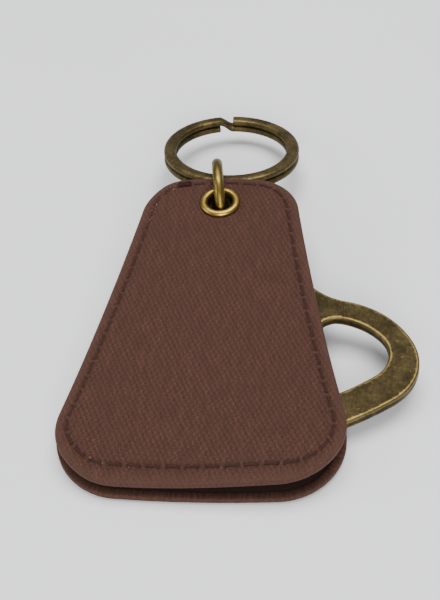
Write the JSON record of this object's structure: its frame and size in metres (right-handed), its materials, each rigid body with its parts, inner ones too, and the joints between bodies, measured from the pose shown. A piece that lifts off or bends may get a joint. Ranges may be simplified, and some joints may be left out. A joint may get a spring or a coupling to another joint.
{
  "type": "keychain bottle opener",
  "caption": "Flat antique-brass bottle opener that swings out of a stitched, bell-shaped fabric case, with a brass eyelet, a jump ring and a split key ring.",
  "frame": {"origin": "centre of the case's flat back face, on the case's centre line and half way up between its corners", "axes": "+Z out of the front cover, +Y towards the key ring, +X the side that the opener swings out of"},
  "size_m": [0.063, 0.1022, 0.0156],
  "materials": {
    "twill": "brown cotton twill, fine diagonal ribs",
    "board": "plain stiffening board",
    "lining": "dark brown plain weave",
    "thread": "dark brown polyester thread",
    "bright_brass": "polished, lightly aged",
    "antique_brass": "antique brass plating, dark and mottled, worn bright on its edges"
  },
  "bodies": {
    "case": {"front_cover": "twill", "front_stiffener": "board", "front_lining": "lining", "front_stitching": "thread", "back_cover": "twill", "back_stiffener": "board", "back_lining": "lining", "back_stitching": "thread", "side_seam_stitching": "thread", "eyelet": "bright_brass", "eyelet_washer": "bright_brass"},
    "opener": {"opener": "antique_brass"},
    "jump_ring": {"jump_ring": "bright_brass"},
    "split_ring": {"split_ring": "antique_brass"}
  },
  "joints": [
    {"name": "opener_swing", "type": "hinge", "parent": "case", "child": "opener", "pos_m": [0, 0.0295, 0], "axis": [0, 0, 1], "range_deg": [-24, 66]},
    {"name": "jump_ring_swing", "type": "hinge", "parent": "case", "child": "jump_ring", "pos_m": [0, 0.0295, 0], "axis": [0, 0, 1], "range_deg": [-5, 9]},
    {"name": "split_ring_swing", "type": "hinge", "parent": "jump_ring", "child": "split_ring", "pos_m": [-0.00113, 0.03872, 0.0015], "axis": [0.9914, -0.1305, 0], "range_deg": [-35, 75]}
  ]
}
